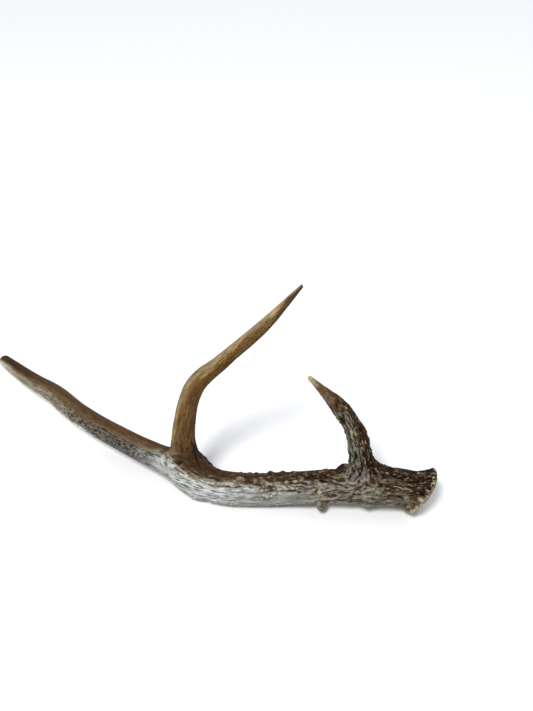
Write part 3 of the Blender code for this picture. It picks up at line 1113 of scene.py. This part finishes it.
def dirt_specks(bone, kept):
    """Specks of dirt between the burr and the bend, fewer where the bone is bare."""
    specks = along_grain(bone, kept, SPECKS, shift=41.0, detail=0.0, spots=True)
    settings = brought((0.42, 0.26), (0.0, 0.62))
    specks = add_node(bone, "ShaderNodeMapRange", settings, {"Value": specks})
    specks = weakened(bone, specks, kept["beam_place"], span=(0.40, 0.50), shares=(1.0, 0.0))
    return weakened(bone, specks, kept["stain"], span=(0.0, 0.4), shares=(0.3, 1.0))


def rubbed_flecks_and_highlights(bone, kept):
    """Light flecks on the ridges, most of them near the burr: cream where the bone is rubbed
    through, and painted highlights.
    """
    flecks = along_grain(bone, kept, FLECKS, shift=31.0, detail=1.0)
    flecks = add_node(bone, "ShaderNodeMapRange", brought((0.57, 0.66)), {"Value": flecks})
    flecks = weakened(bone, flecks, kept["ridge"], span=(0.0, 1.0), shares=(0.0, 0.75))
    return weakened(bone, flecks, kept["beam_place"], span=(0.36, 0.44), shares=(1.0, 0.2))


def weathered_antler_bone(names):
    """Antler as it grew, then weathered. The eye gets dull brown bark and dirt on one side,
    bare bone on the other, painted white beneath as bleached bone and painted light, and cream
    where knobs and ridges are rubbed. The ridge tops also carry painted highlights, and the
    furrows dirt and painted shade."""
    bone = bpy.data.materials.new("weathered_antler_bone")
    bone.use_nodes = True
    kept = read_from_skin(bone, names)
    pores = open_pores(bone, kept)
    streaks = along_grain(bone, kept, STREAKS, shift=0.0, detail=3.0)
    broad_streaks = along_grain(bone, kept, BROAD_STREAKS, shift=13.0, detail=2.0)

    colour = stained_bone(bone, kept)
    # The seal, where the antler came off, is bare pitted bone.
    settings, links = {"Color2": srgb(SEAL_COLOUR)}, {"Fac": kept["seal"], "Color1": colour}
    colour = add_node(bone, "ShaderNodeMixRGB", settings, links)
    # Streaks run along the grain everywhere, lighter and darker by turns.
    colour = shaded(bone, colour, broad_streaks, span=(0.32, 0.68), shades=(0.78, 1.18))
    colour = shaded(bone, colour, streaks, span=(0.30, 0.70), shades=(0.68, 1.22))
    # The underside is painted white: bleached bone, and painted light.
    settings, links = {"Color2": srgb(BLEACHED_AND_LIT)}, {"Fac": kept["bleach_and_light"], "Color1": colour}
    colour = add_node(bone, "ShaderNodeMixRGB", settings, links)
    # The tops of the ridges are painted paler, partly as rubbed bone and partly as painted
    # highlight, and the furrows are painted dark, partly as dirt and partly as painted shade.
    colour = shaded(bone, colour, kept["ridge"], span=(0.1, 0.8), shades=(0.92, 1.40))
    # Dirt and painted shade fill the furrows, darker where they are deeper.
    settings = brought((0.15, 0.95), (0.0, 0.95))
    filled = add_node(bone, "ShaderNodeMapRange", settings, {"Value": kept["furrow"]})
    links = {"Fac": filled, "Color1": colour, "Color2": furrow_dirt_and_shade(bone, kept)}
    colour = add_node(bone, "ShaderNodeMixRGB", links=links)
    settings = brought((0.35, 0.85), (0.0, 0.8))
    rubbed_knobs = add_node(bone, "ShaderNodeMapRange", settings, {"Value": kept["cream"]})
    for share, code in (
        (pores, PORE_DIRT),
        (dirt_specks(bone, kept), SPECK_DIRT),
        (rubbed_flecks_and_highlights(bone, kept), FLECK_CREAM_AND_HIGHLIGHT),
        (rubbed_knobs, KNOB_CREAM),
    ):
        settings, links = {"Color2": srgb(code)}, {"Fac": share, "Color1": colour}
        colour = add_node(bone, "ShaderNodeMixRGB", settings, links)

    settings = brought((0.0, 1.0), (RIDGE_ROUGHNESS, FURROW_ROUGHNESS))
    roughness = add_node(bone, "ShaderNodeMapRange", settings, {"Value": kept["furrow"]})
    settings = {"operation": "MULTIPLY", 1: STREAK_RELIEF}
    relief = add_node(bone, "ShaderNodeMath", settings, {0: streaks})
    relief = add_node(bone, "ShaderNodeMath", {"operation": "SUBTRACT"}, {0: relief, 1: pores})
    settings = {"Strength": RELIEF_STRENGTH, "Distance": RELIEF_DEPTH}
    bump = add_node(bone, "ShaderNodeBump", settings, {"Height": relief})
    shader = bone.node_tree.nodes["Principled BSDF"]
    shader.inputs["IOR"].default_value = BONE_IOR
    shader.inputs["Metallic"].default_value = BONE_METALLIC
    shader.inputs["Specular IOR Level"].default_value = BONE_GLOSS
    for name, source in (("Base Color", colour), ("Roughness", roughness), ("Normal", bump)):
        bone.node_tree.links.new(source.outputs[0], shader.inputs[name])
    return bone


# ------------ camera, light and floor

CAMERA_AT = (0.0682, -0.7485, 0.6899)
CAMERA_TILT = 52.0
CAMERA_LENS = 50.0
# Both lamps face the middle of the antler.
ANTLER_MIDDLE = Vector((0.0, -0.055, 0.03))
# Each lamp's place, size in metres, watts and colour.
LAMPS = {
    "window_light": ((-1.1, -2.3, 4.1), 1.3, 215.0, "#ffffff"),
    "room_light": ((2.2, 1.8, 3.8), 2.4, 45.0, "#f2f6ff"),
}
SKY_COLOUR = "#f4f6fa"
SKY_STRENGTH = 0.50
PAPER_COLOUR = "#f2f2f2"
FLOOR_CORNERS = ((-4.0, -4.0, 0.0), (4.0, -4.0, 0.0), (4.0, 4.0, 0.0), (-4.0, 4.0, 0.0))


def add_camera():
    lens = bpy.data.cameras.new("camera")
    lens.lens = CAMERA_LENS
    camera = bpy.data.objects.new("camera", lens)
    camera.location = CAMERA_AT
    camera.rotation_euler = (math.radians(CAMERA_TILT), 0.0, 0.0)
    bpy.context.scene.collection.objects.link(camera)
    bpy.context.scene.camera = camera


def add_light(name, place, size, watts, colour):
    lamp = bpy.data.lights.new(name, "AREA")
    lamp.shape = "SQUARE"
    lamp.size = size
    lamp.energy = watts
    lamp.color = srgb(colour)[:3]
    light = bpy.data.objects.new(name, lamp)
    light.location = place
    light.rotation_euler = (ANTLER_MIDDLE - Vector(place)).to_track_quat("-Z", "Y").to_euler()
    bpy.context.scene.collection.objects.link(light)


def add_studio():
    world = bpy.data.worlds.new("white_studio")
    world.use_nodes = True
    sky = world.node_tree.nodes["Background"]
    sky.inputs["Color"].default_value = srgb(SKY_COLOUR)
    sky.inputs["Strength"].default_value = SKY_STRENGTH
    bpy.context.scene.world = world
    bpy.context.scene.view_settings.view_transform = "Standard"
    for name, lamp in LAMPS.items():
        add_light(name, *lamp)


def add_floor():
    """Plain white paper, which the antler lies on."""
    mesh = bpy.data.meshes.new("floor")
    mesh.from_pydata(FLOOR_CORNERS, [], [(0, 1, 2, 3)])
    floor = bpy.data.objects.new("floor", mesh)
    bpy.context.scene.collection.objects.link(floor)
    paper = bpy.data.materials.new("white_paper")
    paper.use_nodes = True
    paper.node_tree.nodes["Principled BSDF"].inputs["Base Color"].default_value = srgb(PAPER_COLOUR)
    mesh.materials.append(paper)


# ------------ the scene

antler = smooth_antler()
kept_names = carve(antler)
thin_smooth_places(antler)
antler.data.materials.append(weathered_antler_bone(kept_names))
antler.data.shade_smooth()
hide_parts("main_beam", "brow_tine", "second_tine")
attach(antler, "root")

add_floor()
add_camera()
add_studio()
